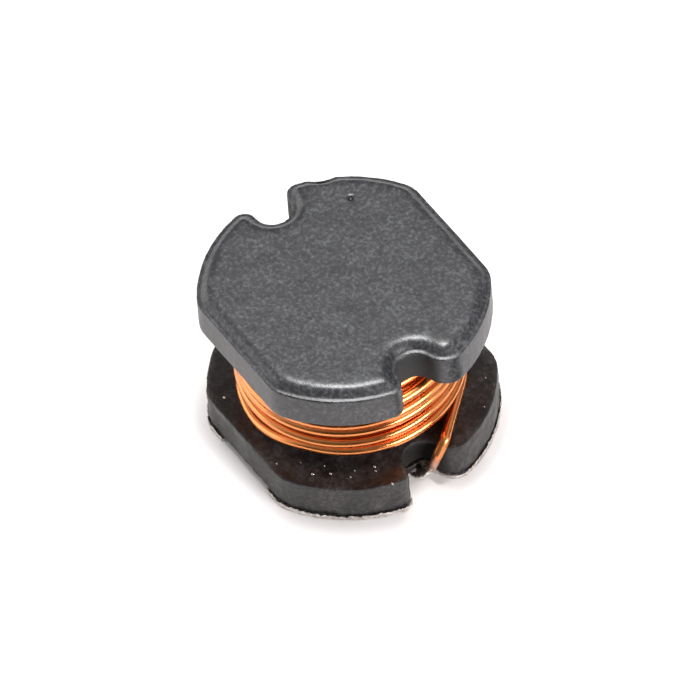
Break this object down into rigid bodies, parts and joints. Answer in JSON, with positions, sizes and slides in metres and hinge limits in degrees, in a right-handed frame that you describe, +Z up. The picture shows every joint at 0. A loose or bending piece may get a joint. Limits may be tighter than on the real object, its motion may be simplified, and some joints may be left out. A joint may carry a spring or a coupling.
{
  "type": "surface-mount drum core power inductor",
  "caption": "Open ferrite drum core with a layered coil of enamelled copper wire between its flanges and flat plated terminals under the base.",
  "frame": {"origin": "middle of the base, on the plane that the terminals stand on", "axes": "+X along the length through the two wire notches, +Y across the flats, +Z up through the top flange"},
  "size_m": [0.0076, 0.007, 0.0051],
  "materials": {
    "ferrite": "sintered matte with a fine grain",
    "enamelled_copper": "clear glossy enamel over bright copper",
    "tin_plating": "dipped tin with ragged edges",
    "solder": "bright reflowed solder"
  },
  "bodies": {
    "root": {"drum_core": "ferrite", "winding": "enamelled_copper", "terminal_a": "tin_plating", "terminal_b": "tin_plating", "solder_a": "solder", "solder_b": "solder"}
  },
  "joints": []
}
